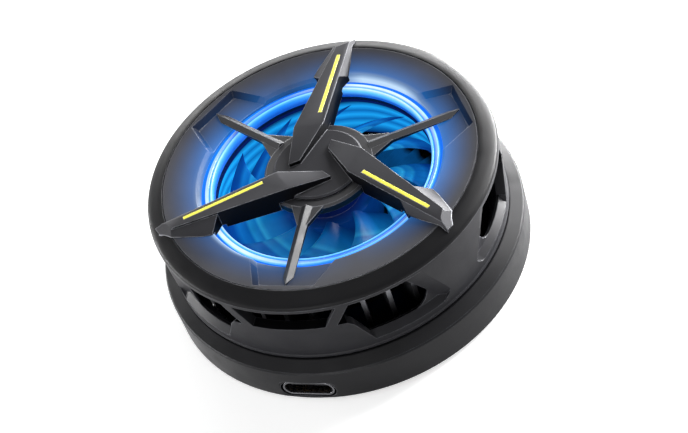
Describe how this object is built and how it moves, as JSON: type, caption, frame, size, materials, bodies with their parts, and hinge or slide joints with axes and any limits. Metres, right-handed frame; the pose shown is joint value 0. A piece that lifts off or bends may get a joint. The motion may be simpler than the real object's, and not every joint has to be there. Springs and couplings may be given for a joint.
{
  "type": "phone cooling fan",
  "caption": "Round magnetic phone cooler: a fan under a three-armed guard with a lit ring, a finned heatsink behind side windows, a thermoelectric stack and a flat cold face.",
  "frame": {"origin": "on the fan axis, in the cold face that lies on the phone", "axes": "+Z along the fan axis, away from the phone; -Y towards the supply inlet"},
  "size_m": [0.064, 0.064, 0.0258],
  "materials": {
    "case_plastic": "satin charcoal moulding",
    "rim_plastic": "satin charcoal moulding",
    "deck_plastic": "satin dark grey moulding",
    "guard_plastic": "satin dark grey moulding",
    "rib_plastic": "satin charcoal moulding",
    "stripe_yellow": "bright yellow inlay",
    "light_guide": "clear guide lit blue-white",
    "lamp": "blue lamp",
    "board_green": "soldermask",
    "duct_plastic": "dark blue-black moulding",
    "screw_steel": "plated steel",
    "pad_silicone": "soft thermal pad",
    "plate_aluminium": "machined",
    "magnet_nickel": "nickel plated",
    "shunt_steel": "plain steel",
    "ceramic_white": "white ceramic",
    "pellet_grey": "sintered",
    "foam_black": "closed cell foam",
    "lead_red": "insulated lead",
    "lead_black": "insulated lead",
    "sink_aluminium": "anodised grey",
    "socket_steel": "plated steel",
    "tongue_black": "moulded",
    "motor_plastic": "moulded",
    "washer_white": "low friction plastic",
    "bush_bronze": "sintered bronze",
    "core_steel": "laminated steel",
    "winding_copper": "enamelled copper",
    "shaft_steel": "ground steel",
    "yoke_steel": "pressed steel",
    "rotor_ferrite": "bonded ferrite",
    "fan_plastic": "pale blue translucent plastic"
  },
  "bodies": {
    "housing": {"base_shell": "case_plastic", "vent_drum": "case_plastic", "top_rim": "rim_plastic", "deck_plate": "deck_plastic", "rib_frame": "rib_plastic", "blade_cover": "guard_plastic", "arm_stripes": "stripe_yellow", "light_ring": "light_guide", "leds": "lamp", "led_board": "board_green", "fan_throat": "duct_plastic", "case_screws": "screw_steel", "contact_pad": "pad_silicone", "cold_plate": "plate_aluminium", "magnets": "magnet_nickel", "magnet_shunt": "shunt_steel", "peltier_cold_face": "ceramic_white", "peltier_pellets": "pellet_grey", "peltier_hot_face": "ceramic_white", "foam_gasket": "foam_black", "tec_leads": "lead_red", "heatsink": "sink_aluminium", "clamp_screws": "screw_steel", "control_board": "board_green", "usb_shell": "socket_steel", "usb_tongue": "tongue_black", "motor_base": "motor_plastic", "motor_board": "board_green", "thrust_washer": "washer_white", "bearing_sleeve": "bush_bronze", "stator_core": "core_steel", "stator_coils": "winding_copper", "fan_leads": "lead_black"},
    "rotor": {"fan_shaft": "shaft_steel", "shaft_clip": "screw_steel", "rotor_yoke": "yoke_steel", "rotor_magnet": "rotor_ferrite", "fan_impeller": "fan_plastic"}
  },
  "joints": [
    {"name": "fan_spin", "type": "hinge", "parent": "housing", "child": "rotor", "pos_m": [0, 0, 0.0137], "axis": [0, 0, 1], "continuous": true}
  ]
}
